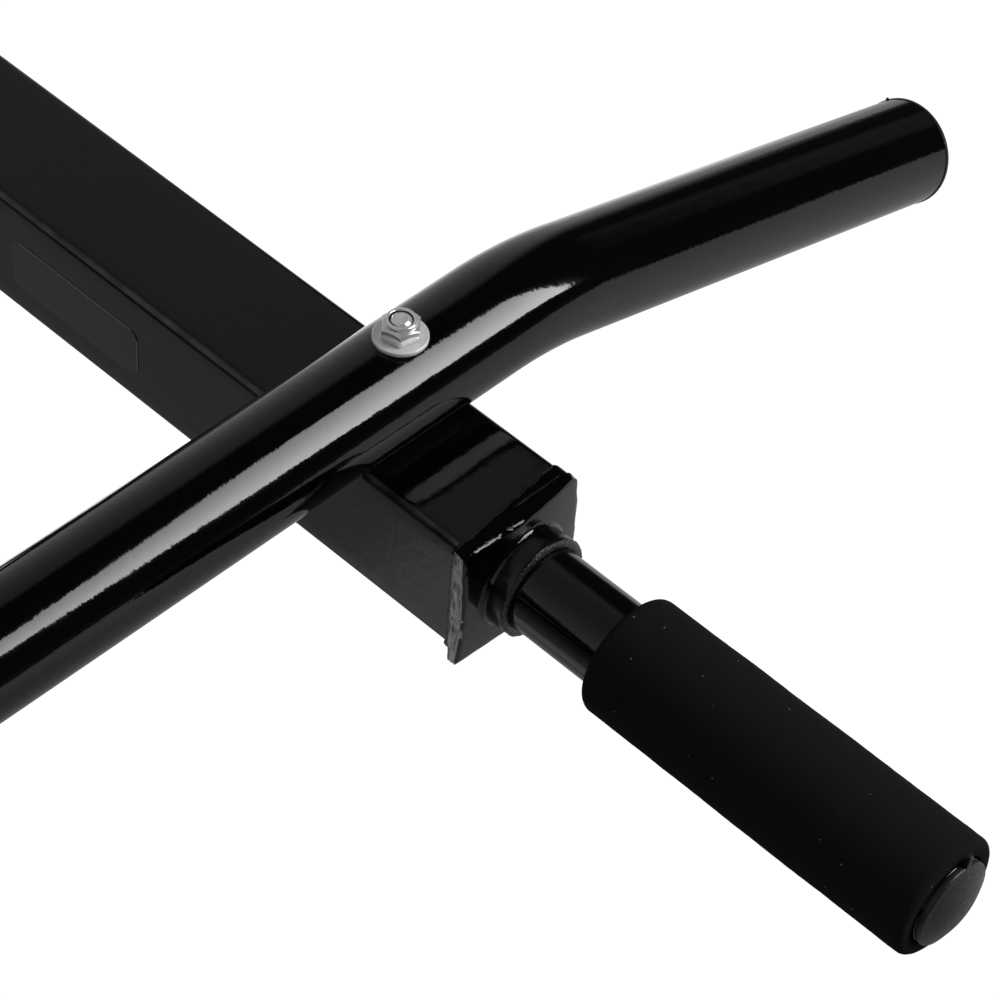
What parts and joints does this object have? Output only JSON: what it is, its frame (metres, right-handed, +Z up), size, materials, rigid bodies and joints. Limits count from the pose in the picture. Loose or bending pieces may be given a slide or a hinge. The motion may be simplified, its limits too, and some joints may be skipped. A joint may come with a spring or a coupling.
{
  "type": "wall-mounted pull up bar",
  "caption": "Wall-mounted pull-up bar: a long bar with drooped ends bolted across braced square-tube arms, with forward foam-covered handles.",
  "frame": {"origin": "on the wall surface, midway between the two wall plates and halfway up them", "axes": "+Z up, +Y into the wall, +X to the right of a person who faces the wall"},
  "size_m": [1, 0.6684, 0.44],
  "materials": {
    "gloss_black_paint": "gloss",
    "satin_black_paint": "satin",
    "zinc_plate": "bright zinc",
    "foam": "matte closed-cell foam",
    "plug_plastic": "fine moulded texture",
    "nylon": "plain moulded",
    "label_film": "gloss film, blank"
  },
  "bodies": {
    "root": {"main_bar": "gloss_black_paint", "arm_left": "satin_black_paint", "arm_right": "satin_black_paint", "brace_left": "satin_black_paint", "brace_right": "satin_black_paint", "wall_plate_left": "satin_black_paint", "wall_plate_right": "satin_black_paint", "end_plate_left": "gloss_black_paint", "end_plate_right": "gloss_black_paint", "collar_left": "gloss_black_paint", "collar_right": "gloss_black_paint", "handle_tube_left": "gloss_black_paint", "handle_tube_right": "gloss_black_paint", "foam_grip_left": "foam", "foam_grip_right": "foam", "handle_plug_left": "plug_plastic", "handle_plug_right": "plug_plastic", "bar_end_plug_left": "plug_plastic", "bar_end_plug_right": "plug_plastic", "bolt_left": "zinc_plate", "bolt_right": "zinc_plate", "head_washer_left": "zinc_plate", "head_washer_right": "zinc_plate", "nut_washer_left": "zinc_plate", "nut_washer_right": "zinc_plate", "lock_nut_left": "zinc_plate", "lock_nut_right": "zinc_plate", "nylon_insert_left": "nylon", "nylon_insert_right": "nylon", "arm_label": "label_film"}
  },
  "joints": []
}
